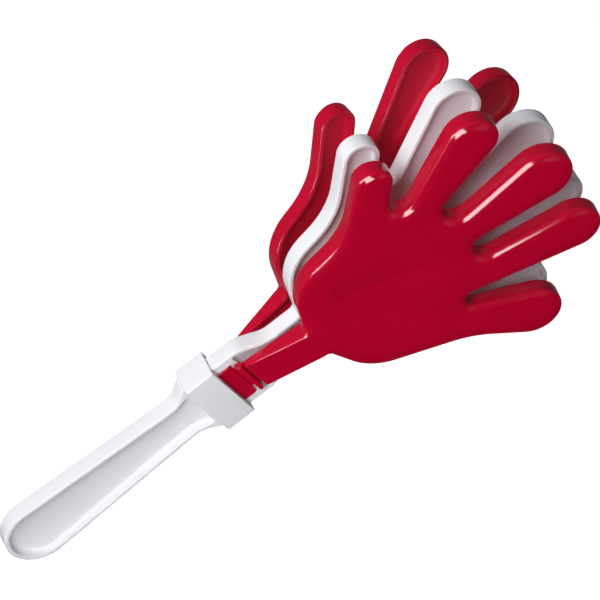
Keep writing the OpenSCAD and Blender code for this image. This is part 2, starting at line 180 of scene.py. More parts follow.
# %% [markdown]
# ## Moulded plastic
# Both plastics came out of polished steel moulds, so the finish is glossy but not optically flat: the skin
# sinks a little where the plastic shrank, it holds a fine haze, and handling leaves hairline scratches.
# These effects are the same on the red and on the white, so each is a shader group with its own inputs,
# built once. The groups put out only values that vary over the surface.

# %% Shader group: moulded skin
FLOAT, VECTOR = "NodeSocketFloat", "NodeSocketVector"
moulded_skin, w, given, result = new_group(
    "moulded_skin", "ShaderNodeTree",
    [("Place", VECTOR, None), ("Cloud Scale", FLOAT, 60.0), ("Grain Scale", FLOAT, 2500.0),
     ("Sink", FLOAT, 1.0), ("Grain", FLOAT, 0.1)],
    [("Cloud", FLOAT, None), ("Haze", FLOAT, None), ("Height", FLOAT, None)])
cloud = w.noise(given["Place"], given["Cloud Scale"])
haze = w.noise(given["Place"], scale=420.0, detail=4.0, roughness=0.6)
grain = w.noise(given["Place"], given["Grain Scale"], detail=1.0)
w.feed(result["Cloud"], w.minus(cloud, 0.5))
w.feed(result["Haze"], w.minus(haze, 0.5))
w.feed(result["Height"], w.plus(w.times(cloud, given["Sink"]), w.times(grain, given["Grain"])))
print("group moulded_skin:", len(moulded_skin.nodes), "nodes")

# %% [markdown]
# Scratches are drawn with stretched cells: where two cells of a Voronoi pattern meet, the distance to the
# edge is near zero, and squeezing the pattern along one direction turns those borders into long hairs. A
# second, slow noise lets them show in patches only.

# %% Shader group: hairline scratches
WAVE, STRETCH, PATCH_SPAN = (0.004, 0.004, 0.004), (1.0, 0.08, 0.6), (0.52, 0.66)
hairline_scratches, w, given, result = new_group(
    "hairline_scratches", "ShaderNodeTree",
    [("Place", VECTOR, None), ("Turn", VECTOR, (0.3, 0.7, 0.5)), ("Scale", FLOAT, 90.0),
     ("Width", FLOAT, 0.012)],
    [("Scratch", FLOAT, None)])
bent = w.noise(given["Place"], scale=35.0, detail=1.0, out="Color")
wavy = w.vector("ADD", given["Place"], w.vector("MULTIPLY", bent, WAVE))
turn = {"Vector": wavy, "Rotation": given["Turn"]}
drawn = w.vector("MULTIPLY", w.add("ShaderNodeVectorRotate", turn, rotation_type="EULER_XYZ"), STRETCH)
cells = {"Vector": drawn, "Scale": given["Scale"]}
border = w.add("ShaderNodeTexVoronoi", cells, feature="DISTANCE_TO_EDGE")
hair = w.ramp(border, 0.0, given["Width"], low=1.0, high=0.0)
shown = w.ramp(w.noise(given["Place"], scale=45.0), *PATCH_SPAN)
w.feed(result["Scratch"], w.times(hair, shown))
print("group hairline_scratches:", len(hairline_scratches.nodes), "nodes")

# %% [markdown]
# Each plastic then mixes its own colour, gloss and relief from the two groups. A colour is given once for
# the thin places and once for the thick ones, and the slow cloud of the skin wanders between them. The
# attribute `edge` comes with the meshes below and marks rims and corners, which hands and table tops rub
# duller and paler first. The attribute `inside` marks the hollow of the red hands. There the colour is
# painted lighter than the outside, painted light that lifts the shade the hollow lies in, and the skin is
# duller, so it mirrors less sharply. How much a plastic mirrors is the same all over it, so that number
# goes straight onto the shader's own socket.

# %% The two plastics
HAZE_SPAN, CLOUD_SPAN = (-0.1, 0.12), (-0.2, 0.2)
RUB_SHARE, SCRATCH_SHARE, WEAR_DULLS, HOLLOW_DULLS = 0.03, 0.05, 0.9, 0.5
SCRATCH_DEPTH, RELIEF_STRENGTH, RELIEF_HEIGHT = 0.15, 0.12, 0.0002


def placed_group(w, tree, place):
    group = w.tree.nodes.new("ShaderNodeGroup")
    group.node_tree = tree
    w.feed(group.inputs["Place"], place)
    return group


def plastic(name, thick, thin, worn, mirror, gloss, haze_share, cloud_scale, sink, hollow=None):
    material = bpy.data.materials.new(name)
    material.use_nodes = True
    w = Wiring(material.node_tree)
    shader = material.node_tree.nodes["Principled BSDF"]
    place = w.add("ShaderNodeTexCoord", out="Object")
    skin, scratches = placed_group(w, moulded_skin, place), placed_group(w, hairline_scratches, place)
    skin.inputs["Cloud Scale"].default_value = cloud_scale
    skin.inputs["Sink"].default_value = sink
    haze, scratch = skin.outputs["Haze"], scratches.outputs["Scratch"]
    rubbed = w.add("ShaderNodeAttribute", out="Fac", attribute_name="edge")
    patchy = w.times(rubbed, w.ramp(haze, *HAZE_SPAN))
    wear = w.plus(w.times(patchy, RUB_SHARE), w.times(scratch, SCRATCH_SHARE))
    tone = w.mix_colour(w.ramp(skin.outputs["Cloud"], *CLOUD_SPAN), thick, thin)
    rough = w.plus(w.plus(gloss, w.times(haze, haze_share)), w.times(wear, WEAR_DULLS))
    if hollow:
        # In the hollow the colour is painted lighter, painted light that lifts the hollow's shade; the skin
        # there is duller too.
        hollow_lift_and_dull = w.add("ShaderNodeAttribute", out="Fac", attribute_name="inside")
        tone = w.mix_colour(hollow_lift_and_dull, tone, hollow)
        rough = w.plus(rough, w.times(hollow_lift_and_dull, HOLLOW_DULLS))
    relief = w.minus(skin.outputs["Height"], w.times(scratch, SCRATCH_DEPTH))
    w.feed(shader.inputs["Base Color"], w.mix_colour(wear, tone, worn))
    w.feed(shader.inputs["Roughness"], rough)
    w.feed(shader.inputs["Normal"], w.add(
        "ShaderNodeBump", {"Height": relief, "Strength": RELIEF_STRENGTH, "Distance": RELIEF_HEIGHT}))
    shader.inputs["Specular IOR Level"].default_value = mirror
    shader.inputs["IOR"].default_value = 1.5
    print("material", name, "with", len(material.node_tree.nodes), "nodes")
    return material


# The red's hollow colour is painted lighter than its outside: painted light against the shade in the hollow.
red_plastic = plastic(
    "red_plastic", thick=(0.52, 0.0012, 0.026, 1), thin=(0.56, 0.0018, 0.031, 1),
    worn=(0.66, 0.10, 0.14, 1), mirror=0.5, gloss=0.07, haze_share=0.05, cloud_scale=45.0, sink=0.35,
    hollow=(0.66, 0.0012, 0.033, 1))
white_plastic = plastic(
    "white_plastic", thick=(0.90, 0.905, 0.95, 1), thin=(0.925, 0.93, 0.97, 1),
    worn=(0.80, 0.79, 0.79, 1), mirror=0.22, gloss=0.24, haze_share=0.08, cloud_scale=55.0, sink=0.15)

# %% [markdown]
# ## Outlines as chains of circles
# A hand's outline is a row of circles joined by straight lines that touch them. The line runs round the
# outside of a finger tip and round the inside of the web between two fingers, so a tip gets a positive
# radius and a web a negative one. Drawing it by hand point by point would never stay parallel to itself.
# With circles, a parallel outline at any inset is the same chain with smaller radii, which is what rims,
# fillets and rounded edges need. Sizes are in millimetres, heights `h` count from the top of the sleeve.

# %% Outline rule
def touch(a, b):
    span = Vector((b[0] - a[0], b[1] - a[1]))
    unit = span.normalized()
    lean = (a[2] - b[2]) / span.length
    return lean * unit + math.sqrt(1 - lean * lean) * Vector((-unit.y, unit.x))


def outline(chain):
    points = []
    for i, (x, h, r, steps) in enumerate(chain):
        into, out = touch(chain[i - 1], chain[i]), touch(chain[i], chain[(i + 1) % len(chain)])
        start, stop = math.atan2(into.y, into.x), math.atan2(out.y, out.x)
        sweep = -((start - stop) % math.tau) if r >= 0 else (stop - start) % math.tau
        for s in range(steps + 1):
            a = start + sweep * s / steps
            points.append((x + r * math.cos(a), h + r * math.sin(a), math.cos(a), math.sin(a)))
    return points


print("test outline of two circles:", len(outline([(-5, 0, 3, 8), (5, 0, 3, 8)])), "points")

# %% [markdown]
# The hand's own chain goes up the thumb side of the palm, over the five fingers and down the other side.
# Tips and webs are placed by an angle and a reach from the middle of the palm. The hollow sides of the palm
# are circles too: each is found from the heel and the finger it has to run into.

# %% The hand's chain
PALM_H, HEEL_X, HEEL_R, NECK_H, NECK_R, NECK_RUN = 67.8, 13.6, 24.8, 38.0, 3.0, 2.05
ARM_HALF = 8.9
HEEL_H = NECK_H + math.sqrt((HEEL_R + NECK_R + NECK_RUN) ** 2 - (ARM_HALF + NECK_R - HEEL_X) ** 2)
TIPS = {"thumb": (-59, 68, 7.8), "index": (-32.5, 88.5, 11), "middle": (-5, 85.5, 12.8),
        "ring": (20, 85.5, 11.2), "little": (53, 73.5, 12.2)}
WEBS = {"thumb": (-48, 56, 4.7), "index": (-21.5, 56.5, 6.4), "middle": (9, 51, 6), "ring": (45, 44.5, 4.3)}
# A hollow side is: the side of the palm, its radius, and its straight runs to the heel and to the finger.
HOLLOW_SIDES = {"thumb": (-1, 34.5, 0.2, 3.3), "little": (1, 47.5, 3.7, 1.9)}
TIP_STEPS, WEB_STEPS, PALM_STEPS, NECK_STEPS, CORNER_STEPS = 36, 22, 28, 12, 8


def fan(angle, reach):
    a = math.radians(angle)
    return reach * math.sin(a), PALM_H + reach * math.cos(a)


def side_hollow(finger, inset):
    side, r, heel_run, tip_run = HOLLOW_SIDES[finger]
    heel = Vector((side * HEEL_X, HEEL_H))
    angle, reach, finger_r = TIPS[finger]
    span = Vector(fan(angle, reach)) - heel
    unit = span.normalized()
    to_heel, to_tip = HEEL_R + r + heel_run, finger_r + r + tip_run
    along = (span.length_squared + to_heel ** 2 - to_tip ** 2) / (2 * span.length)
    out = math.sqrt(to_heel ** 2 - along ** 2)
    middle = heel + along * unit + side * out * Vector((unit.y, -unit.x))
    return middle.x, middle.y, -r - inset, PALM_STEPS


def mirrored(chain):
    return [(-x, h, r, steps) for x, h, r, steps in reversed(chain)]


def hand_chain(half, inset):
    heel_and_neck = [(HEEL_X, HEEL_H, HEEL_R - inset, PALM_STEPS),
                     (half + NECK_R, NECK_H, -NECK_R - inset, NECK_STEPS)]
    chain = [*mirrored(heel_and_neck), side_hollow("thumb", inset)]
    for finger, (angle, reach, r) in TIPS.items():
        chain.append((*fan(angle, reach), r - inset, TIP_STEPS))
        if finger in WEBS:
            angle, reach, r = WEBS[finger]
            chain.append((*fan(angle, reach), -r - inset, WEB_STEPS))
    return [*chain, side_hollow("little", inset), *heel_and_neck]


print("hand chain:", len(hand_chain(ARM_HALF, 0)), "circles, heels at", round(HEEL_H, 2))

# %% [markdown]
# ## The red hands: a profile carried round an outline
# A red hand is a hollow shell. Cut it anywhere and the section is the same: floor, fillet, inner wall, rim,
# outer wall, rounded edge, and a border that crowns gently up to the flat face. So the shape follows a rule,
# an outline and a profile, and Geometry Nodes can carry one round the other. A profile row says which
# outline it belongs to, how far it lies inside it, and how deep it is, once for the palm and once for the
# slimmer arm. It also says how much it is rubbed and whether it lies in the hollow.

# %% Profile rows
HAND_RIM, ARM_H, ARM_SOLID, ARM_CORNER = 2.2, 11.2, 9.0, 1.5
SKIN, INNER_FILLET, ARM_SKIN, ARM_FILLET = 4.4, 2.4, 2.4, 0.9
EDGE_R, ARM_EDGE_R, CROWN_W, CROWN_FALL, ARM_BORDER, RIM_SOFT = 1.2, 1.2, 5.0, 0.7, 0.2, 0.6
ARM_DEPTH, HAND_DEPTH = 3.2, 7.4
FILLET_STEPS, LIP_STEPS, EDGE_STEPS, CROWN_STEPS = 6, 4, 8, 8


def quarter(steps, most=math.pi / 2):
    angles = [most * s / steps for s in range(steps + 1)]
    return [(1 - math.cos(a), 1 - math.sin(a)) for a in angles]


def profile_rows():
    rows = []

    def row(outer, level, edge, arm, palm=None, floor=0, inside=0):
        arm_inset, arm_fall = arm
        palm_inset, palm_fall = palm or arm
        rows.append(dict(outer=outer, level=level, edge=edge, floor=floor, inside=inside, arm_inset=arm_inset,
                         arm_fall=arm_fall, palm_inset=palm_inset, palm_fall=palm_fall))

    for aside, under in reversed(quarter(FILLET_STEPS)):
        row(0, 1, 0, (ARM_FILLET * aside, ARM_FILLET * under), (INNER_FILLET * aside, INNER_FILLET * under),
            floor=1, inside=1)
    for aside, under in quarter(LIP_STEPS):
        row(0, 0, 1, (-RIM_SOFT * aside, -RIM_SOFT * under), inside=1)
    for aside, under in quarter(LIP_STEPS):
        row(1, 0, 1, (RIM_SOFT * under, -RIM_SOFT * aside))
    lean = math.atan(2 * CROWN_FALL / CROWN_W)
    bends = zip(quarter(EDGE_STEPS), quarter(EDGE_STEPS, math.pi / 2 - lean))
    for s, ((arm_aside, arm_under), (palm_aside, palm_under)) in enumerate(bends):
        row(1, 1, 1 if s > 2 else 0.5, (ARM_EDGE_R * arm_aside, ARM_EDGE_R * arm_under),
            (EDGE_R * palm_aside, CROWN_FALL + EDGE_R * (palm_under + math.cos(lean) - 1)))
    for s in range(1, CROWN_STEPS + 1):
        t = s / CROWN_STEPS
        row(1, 1, max(0, 0.6 - 0.2 * s), (ARM_EDGE_R + ARM_BORDER * t, 0),
            (EDGE_R * (1 - math.sin(lean)) + CROWN_W * t, CROWN_FALL * (1 - t) ** 2))
    return rows


rows = profile_rows()
print("profile:", len(rows), "rows")

# %% [markdown]
# Geometry Nodes reads the outlines and the profile as small point meshes with attributes: the outward
# direction and the palm's share at each outline point, and the sizes of each row. They exist only until the
# shell is made.

# %% Guide meshes
MM = 0.001


def guide(name, places, attributes):
    mesh = bpy.data.meshes.new(name)
    mesh.from_pydata([tuple(v * MM for v in p) for p in places], [], [])
    for label, values in attributes.items():
        if isinstance(values[0], tuple):
            data = mesh.attributes.new(label, "FLOAT_VECTOR", "POINT").data
            data.foreach_set("vector", [v for item in values for v in item])
        else:
            mesh.attributes.new(label, "FLOAT", "POINT").data.foreach_set("value", values)
    return add_object(name, mesh)


def red_outline(name, inset, corner, bottom):
    low_corner = [(ARM_HALF - inset - corner, bottom + corner, corner, CORNER_STEPS)]
    points = outline([*mirrored(low_corner), *hand_chain(ARM_HALF, inset), *low_corner])
    count, arm_points = len(points), CORNER_STEPS + 1
    past_arm = [min(i, count - 1 - i) - arm_points for i in range(count)]
    return guide(name, [(x, h, 0) for x, h, _, _ in points], {
        "outward": [(nx, nh, 0.0) for _, _, nx, nh in points],
        "palm": [max(0.0, min(1.0, past / NECK_STEPS)) for past in past_arm]})


outer_guide = red_outline("outer_guide", 0, ARM_CORNER, ARM_H)
inner_guide = red_outline("inner_guide", HAND_RIM, ARM_FILLET, ARM_H + ARM_SOLID)
# Labels of two words are lengths, the others are shares.
profile_guide = guide("profile_guide", [(0, 0, 0)] * len(rows), {
    label: [float(r[label]) * (MM if "_" in label else 1) for r in rows] for label in rows[0]})
print("guides:", len(outer_guide.data.vertices), "outline points,", len(rows), "rows")

# %% [markdown]
# The tree that makes the shell takes all its sizes as named inputs, so that they can be changed in the
# modifier without touching a node. The defaults only show what kind of number belongs there.

# %% Hand shell: inputs
GEOMETRY, OBJECT = "NodeSocketGeometry", "NodeSocketObject"
INT, MATERIAL = "NodeSocketInt", "NodeSocketMaterial"
shell_tree, w, given, result = new_group(
    "hand_shell", "GeometryNodeTree",
    [("Geometry", GEOMETRY, None), ("Outer Outline", OBJECT, None), ("Inner Outline", OBJECT, None),
     ("Profile", OBJECT, None), ("Points", INT, 100), ("Rows", INT, 10), ("Arm Height", FLOAT, 0.01),
     ("Neck Height", FLOAT, 0.04), ("Arm Depth", FLOAT, 0.003), ("Hand Depth", FLOAT, 0.007),
     ("Arm Skin", FLOAT, 0.002), ("Hand Skin", FLOAT, 0.003), ("Dish Radius", FLOAT, 0.025),
     ("Dish Depth", FLOAT, 0.001), ("Dish Height", FLOAT, 0.07), ("Dish Valley", FLOAT, 0.01),
     ("Dish Turn", FLOAT, 0.3), ("Dish Sides", INT, 96), ("Plastic", MATERIAL, None)],
    [("Geometry", GEOMETRY, None)])
outer, inner, profile = (
    w.add("GeometryNodeObjectInfo", {"Object": given[label]}, out="Geometry")
    for label in ("Outer Outline", "Inner Outline", "Profile"))
position = w.add("GeometryNodeInputPosition")
print("tree hand_shell starts with", len(shell_tree.nodes), "nodes")

# %% [markdown]
# The walls start as a plain grid with one column for each outline point and one line for each profile row.
# Every grid point keeps the numbers of its column and line as attributes, because its position is about to
# change. With them it can look up its place on the outline and its row of the profile.

# %% Hand shell: numbered grid
def named(label, kind="FLOAT"):
    return w.add("GeometryNodeInputNamedAttribute", {"Name": label}, data_type=kind)


def sample(source, value, index, kind="FLOAT"):
    feeds = {"Geometry": source, "Value": value, "Index": index}
    return w.add("GeometryNodeSampleIndex", feeds, data_type=kind)


def store(geometry, label, value):
    feeds = {"Geometry": geometry, "Name": label, "Value": value}
    return w.add("GeometryNodeStoreNamedAttribute", feeds, data_type="FLOAT")


def counted_grid(columns, lines):
    mesh = w.add("GeometryNodeMeshGrid", {
        "Size X": columns, "Size Y": lines,
        "Vertices X": w.plus(columns, 1.0), "Vertices Y": w.plus(lines, 1.0)}, out="Mesh")
    x, y = w.split(position)[:2]
    column = w.math("ROUND", w.plus(x, w.over(columns, 2.0)))
    line = w.math("ROUND", w.plus(y, w.over(lines, 2.0)))
    return mesh, column, line


last_row = w.minus(given["Rows"], 1.0)
grid, column, line = counted_grid(given["Points"], last_row)
column = w.math("FLOORED_MODULO", column, given["Points"])
numbered = store(store(grid, "line", line), "column", column)
line, column = named("line"), named("column")
print("tree hand_shell with its grid:", len(shell_tree.nodes), "nodes")

# %% [markdown]
# Then every point moves: to the inner or the outer outline, inset and sunk as its row says. Arm and palm
# have different depths, so those slide from one to the other between the arm's end and the neck. The first
# and the last column of the grid now lie on each other and are merged.

# %% Hand shell: walls
SEAM = 1e-7


def of_row(label):
    return sample(profile, named(label), line)


def of_outline(value, kind="FLOAT"):
    a, b = sample(inner, value, column, kind), sample(outer, value, column, kind)
    if kind == "FLOAT":
        return w.mix(on_outer, a, b)
    return w.vector("ADD", a, w.scaled(w.vector("SUBTRACT", b, a), on_outer))


def arm_to_hand(height, label):
    return w.ramp(height, given["Arm Height"], given["Neck Height"],
                  given["Arm " + label], given["Hand " + label])


def moved_to(geometry, x, h, depth):
    return w.add("GeometryNodeSetPosition", {"Geometry": geometry, "Position": w.point(x, h, depth)})


on_outer = of_row("outer")
palm_share = of_outline(named("palm"))
inset = w.mix(palm_share, of_row("arm_inset"), of_row("palm_inset"))
fall = w.mix(palm_share, of_row("arm_fall"), of_row("palm_fall"))
outward = of_outline(named("outward", "FLOAT_VECTOR"), "FLOAT_VECTOR")
moved = w.vector("SUBTRACT", of_outline(position, "FLOAT_VECTOR"), w.scaled(outward, inset))
wall_x, wall_h = w.split(moved)[:2]
face = w.times(of_row("level"), arm_to_hand(wall_h, "Depth"))
sunk = w.times(of_row("floor"), arm_to_hand(wall_h, "Skin"))
wall = moved_to(numbered, wall_x, wall_h, w.minus(w.minus(face, sunk), fall))
wall = store(store(wall, "edge", of_row("edge")), "inside", of_row("inside"))
wall = w.add("GeometryNodeMergeByDistance", {"Geometry": wall, "Distance": SEAM})
print("tree hand_shell with its walls:", len(shell_tree.nodes), "nodes")

# %% [markdown]
# The shell is still open at its outer face and at the floor of its hollow. The first and the last line of
# the grid are turned into curves and filled, separately on the flat palm and on the sloping arm. The palm of
# the outer face keeps a round hole for the dish.

# %% Hand shell: lids
WITHIN_LINE = 0.25
above = w.math("GREATER_THAN", w.split(position)[1], given["Neck Height"])
below = w.minus(1.0, above)
is_last = w.math("GREATER_THAN", line, w.minus(last_row, WITHIN_LINE))
is_first = w.math("LESS_THAN", line, WITHIN_LINE)


def join(parts):
    node = w.tree.nodes.new("GeometryNodeJoinGeometry")
    for part in parts:
        w.feed(node.inputs[0], part)
    return node.outputs[0]


def loop(row_test, side_test):
    strip = w.add("GeometryNodeMeshToCurve", {"Mesh": wall, "Selection": w.times(row_test, side_test)})
    return w.add("GeometryNodeSetSplineCyclic", {0: strip, "Cyclic": True})


def lid(curves, floor=False):
    flat = w.add("GeometryNodeFillCurve", {0: join(curves)})
    x, h = w.split(position)[:2]
    level = arm_to_hand(h, "Depth")
    if floor:
        level = w.minus(level, arm_to_hand(h, "Skin"))
    return moved_to(flat, x, h, level)


hole = w.add("GeometryNodeCurvePrimitiveCircle", {
    "Resolution": given["Dish Sides"], "Radius": given["Dish Radius"]}, mode="RADIUS")
hole = w.add("GeometryNodeSetPosition", {"Geometry": hole, "Offset": w.point(0.0, given["Dish Height"], 0.0)})
outer_lids = [lid([loop(is_last, above), hole]), lid([loop(is_last, below)])]
floor_lids = [lid([loop(is_first, part)], floor=True) for part in (above, below)]
# The hollow's floor is marked `inside`, where the red gets its painted lighter colour.
floor_lids = [store(w.add("GeometryNodeFlipFaces", {"Mesh": part}), "inside", 1.0) for part in floor_lids]
print("tree hand_shell with its lids:", len(shell_tree.nodes), "nodes")

# %% [markdown]
# The dish in the palm is round, but it is no bowl: its floor slopes down from the thumb side to a straight
# valley and runs out slowly to the other side. So it is a second grid, rolled up into a disc. Its depth is
# the product of three shares: how far along the slope, how far along the run-out, and how near the middle of
# the valley a point lies.

# %% Hand shell: dish
DISH_RINGS, DISH_EASE, TINY = 48, 1.25, 1e-6


def square(value):
    return w.times(value, value)


def share_of(part, length):
    share = w.over(part, w.math("MAXIMUM", length, TINY))
    return w.math("MINIMUM", w.math("MAXIMUM", share, 0.0), 1.0)


dish, dish_column, dish_line = counted_grid(given["Dish Sides"], float(DISH_RINGS))
around = w.times(w.over(dish_column, given["Dish Sides"]), math.tau)
radius = w.times(w.over(dish_line, float(DISH_RINGS)), given["Dish Radius"])
dish_x, dish_h = w.times(radius, w.math("COSINE", around)), w.times(radius, w.math("SINE", around))
turn_cos, turn_sin = w.math("COSINE", given["Dish Turn"]), w.math("SINE", given["Dish Turn"])
aside = w.minus(w.times(dish_x, turn_cos), w.times(dish_h, turn_sin))
along = w.plus(w.times(dish_x, turn_sin), w.times(dish_h, turn_cos))

half = w.math("SQRT", w.math("MAXIMUM", w.minus(square(given["Dish Radius"]), square(along)), 0.0))
slope = share_of(w.plus(half, aside), w.minus(half, given["Dish Valley"]))
run_out = share_of(w.minus(half, aside), w.plus(half, given["Dish Valley"]))
valley = w.minus(square(given["Dish Radius"]), square(given["Dish Valley"]))
deep = w.times(given["Dish Depth"], w.minus(1.0, square(share_of(square(along), valley))))
hollow = w.times(deep, w.times(w.math("POWER", slope, DISH_EASE), run_out))
dish = moved_to(dish, dish_x, w.plus(given["Dish Height"], dish_h), w.minus(given["Hand Depth"], hollow))
print("tree hand_shell with its dish:", len(shell_tree.nodes), "nodes")

# %% [markdown]
# Last, the parts become one closed skin: they are joined, their touching points are merged, and the material
# is set. To run the tree, a modifier gets the sizes by the identifiers of its inputs, and the result is kept
# as a plain mesh. A count of open edges shows whether it really is closed.

# %% Hand shell: one closed mesh
WELD = 2e-6
DISH_R, DISH_D, DISH_H, DISH_VALLEY, DISH_TURN, DISH_SIDES = 26.0, 1.2, 74.0, 9.4, math.radians(19), 96

shell = w.add("GeometryNodeMergeByDistance", {
    "Geometry": join([wall, dish, *outer_lids, *floor_lids]), "Distance": WELD})
shell = w.add("GeometryNodeSetShadeSmooth", {0: shell, "Shade Smooth": True})
shell = w.add("GeometryNodeRealizeInstances", {"Geometry": shell})
shell = w.add("GeometryNodeSetMaterial", {"Geometry": shell, "Material": given["Plastic"]})
w.feed(result["Geometry"], shell)


def plain_mesh(carrier, name):
    bpy.context.view_layer.update()
    mesh = bpy.data.meshes.new_from_object(carrier.evaluated_get(bpy.context.evaluated_depsgraph_get()))
    bpy.data.objects.remove(carrier)
    mesh.name = name
    return mesh


def made_by(tree, name, settings):
    carrier = add_object(name + "_tree", bpy.data.meshes.new(name + "_tree"))
    modifier = carrier.modifiers.new(tree.name, "NODES")
    modifier.node_group = tree
    for item in tree.interface.items_tree:
        if item.in_out == "INPUT" and item.name in settings:
            modifier[item.identifier] = settings[item.name]
    return plain_mesh(carrier, name)


def finish_normals(mesh):
    work = bmesh.new()
    work.from_mesh(mesh)
    bmesh.ops.recalc_face_normals(work, faces=work.faces)
    open_edges = sum(1 for e in work.edges if len(e.link_faces) != 2)
    work.to_mesh(mesh)
    work.free()
    return open_edges


hand_mesh = made_by(shell_tree, "red_hand", {
    "Outer Outline": outer_guide, "Inner Outline": inner_guide, "Profile": profile_guide,
    "Points": len(outer_guide.data.vertices), "Rows": len(rows), "Arm Height": ARM_H * MM,
    "Neck Height": NECK_H * MM, "Arm Depth": ARM_DEPTH * MM, "Hand Depth": HAND_DEPTH * MM,
    "Arm Skin": ARM_SKIN * MM, "Hand Skin": SKIN * MM, "Dish Radius": DISH_R * MM, "Dish Depth": DISH_D * MM,
    "Dish Height": DISH_H * MM, "Dish Valley": DISH_VALLEY * MM, "Dish Turn": DISH_TURN,
    "Dish Sides": DISH_SIDES, "Plastic": red_plastic})
for piece in (outer_guide, inner_guide, profile_guide):
    bpy.data.objects.remove(piece)
open_edges = finish_normals(hand_mesh)
print("red hand:", len(hand_mesh.polygons), "faces,", open_edges, "open edges")

# %% [markdown]
# The tree makes a hand lying flat. It is stood upright, moved out to its closed place, and swung open about
# the hinge by the tilt it rests at, which the frame knows from its joints. The back hand is the front one
# mirrored. A mirror turns a mesh inside out, so its faces are flipped back. The rim of the dish is marked
# sharp, because the flat face round it would otherwise shade as if it bent.

# %% Place the red hands
WRIST, RIM_Y, UPPER_AXIS, LOWER_AXIS = 60.0, 4.0, (4.3, 10.7), (3.3, 6.7)
RIM_GAP, FACE_GAP = 0.001 * MM, 0.01 * MM
MIRROR = Matrix.Scale(-1, 4, (0, 1, 0))
joints = {joint["name"]: joint for joint in frame["joints"]}


def half_tilt(side):
    return -math.radians(joints[side + "_hand_swing"]["range_deg"][0])


def swung(axis, angle):
    pivot = Vector((0, -axis[0] * MM, (WRIST + axis[1]) * MM))
    return Matrix.Translation(pivot) @ Matrix.Rotation(angle, 4, "X") @ Matrix.Translation(-pivot)


def hand_place(side):
    tilt = half_tilt(side)
    upright = Matrix.Translation((0, -RIM_Y * MM, WRIST * MM)) @ Matrix.Rotation(math.pi / 2, 4, "X")
    return swung(LOWER_AXIS, tilt) @ swung(UPPER_AXIS, tilt) @ upright


def put(mesh, place, side):
    mesh.transform(place)
    if side == "back":
        mesh.transform(MIRROR)
        mesh.flip_normals()
    return mesh


def add_piece(name, mesh, node, body):
    piece = add_object(name, mesh)
    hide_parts(node)
    if body:
        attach(piece, body)
    return piece


def on_dish_rim(point):
    away = (point - Vector((0, DISH_H * MM, 0))).xy.length - DISH_R * MM
    return abs(away) < RIM_GAP and point.z > HAND_DEPTH * MM - FACE_GAP


on_rim = [on_dish_rim(v.co) for v in hand_mesh.vertices]
sharp = [all(on_rim[v] for v in edge.vertices) for edge in hand_mesh.edges]
hand_mesh.attributes.new("sharp_edge", "BOOLEAN", "EDGE").data.foreach_set("value", sharp)
for side in ("front", "back"):
    mesh = put(hand_mesh.copy(), hand_place(side), side)
    add_piece("red_hand_" + side, mesh, side + "_hand", side + "_palm")
    opening = round(2 * math.degrees(half_tilt(side)), 2)
    print(side, "hand rests open by", opening, "degrees,", sum(sharp), "dish edges")

# %% [markdown]
# ## Skins over rings
# The white moulding and the small pieces are made with bmesh: rings of points are joined into walls, and
# flat places between rings are filled with triangles. The filling uses a Delaunay triangulation that keeps
# the rings as edges. Triangles inside an odd number of rings stay, so a ring inside another one becomes
# a hole. A last ring close to each corner keeps the shading of big flat faces clean.

# %% Skin builder
SAME_MM, SHARP, ROD_SHARP = 1e-4, math.radians(35), math.radians(50)


class Skin:
    def __init__(self):
        self.mesh = bmesh.new()
        self.worn = self.mesh.verts.layers.float.new("edge")

    def ring(self, points, worn=0.0):
        verts = [self.mesh.verts.new(p) for p in points]
        for v in verts:
            v[self.worn] = worn
        return verts

    def wall(self, rings):
        for a, b in zip(rings, rings[1:]):
            for i in range(len(a)):
                self.mesh.faces.new((a[i - 1], a[i], b[i], b[i - 1]))

    def fill(self, loops):
        verts = [v for loop in loops for v in loop]
        flat = [Vector((v.co.x, v.co.z)) for v in verts]
        lines, start = [], 0
        for loop in loops:
            lines += [(start + i, start + (i + 1) % len(loop)) for i in range(len(loop))]
            start += len(loop)
        made, _, faces, origin, _, _ = delaunay_2d_cdt(flat, lines, [], 0, 1e-7)
        for face in faces:
            middle = sum((made[i] for i in face), Vector((0, 0))) / len(face)
            crossings = 0
            for a, b in lines:
                p, q = flat[a], flat[b]
                if (p.y > middle.y) != (q.y > middle.y):
                    crossings += p.x + (middle.y - p.y) * (q.x - p.x) / (q.y - p.y) > middle.x
            if crossings % 2:
                self.mesh.faces.new([verts[origin[i][0]] for i in face])

    def done(self, name, material, sharp=SHARP):
        bmesh.ops.remove_doubles(self.mesh, verts=self.mesh.verts, dist=SAME_MM)
        bmesh.ops.recalc_face_normals(self.mesh, faces=self.mesh.faces)
        gaps = sum(1 for e in self.mesh.edges if len(e.link_faces) != 2)
        self.mesh.transform(Matrix.Scale(MM, 4))
        mesh = bpy.data.meshes.new(name)
        self.mesh.to_mesh(mesh)
        self.mesh.free()
        mesh.materials.append(material)
        mesh.polygons.foreach_set("use_smooth", [True] * len(mesh.polygons))
        mesh.set_sharp_from_angle(angle=sharp)
        print(name + ":", len(mesh.polygons), "faces,", gaps, "open edges")
        return mesh

    def rod(self, rings, name):
        self.wall(rings)
        for end in (rings[0], rings[-1]):
            self.mesh.faces.new(end)
        return self.done(name, red_plastic, ROD_SHARP)


def lifted(points, inset, depth):
    return [(x - nx * inset, -depth, WRIST + h - nh * inset) for x, h, nx, nh in points]


print("skin builder: corners over", round(math.degrees(SHARP)), "degrees stay sharp")

# %% [markdown]
# ## The white moulding
# Handle, wrist block and centre hand are one flat moulding with a raised rim all round and a recess on each
# face. One long chain of circles runs round all of it: handle end, flare, the little ledge that the sleeve
# rests on, shoulder, waist and hand.

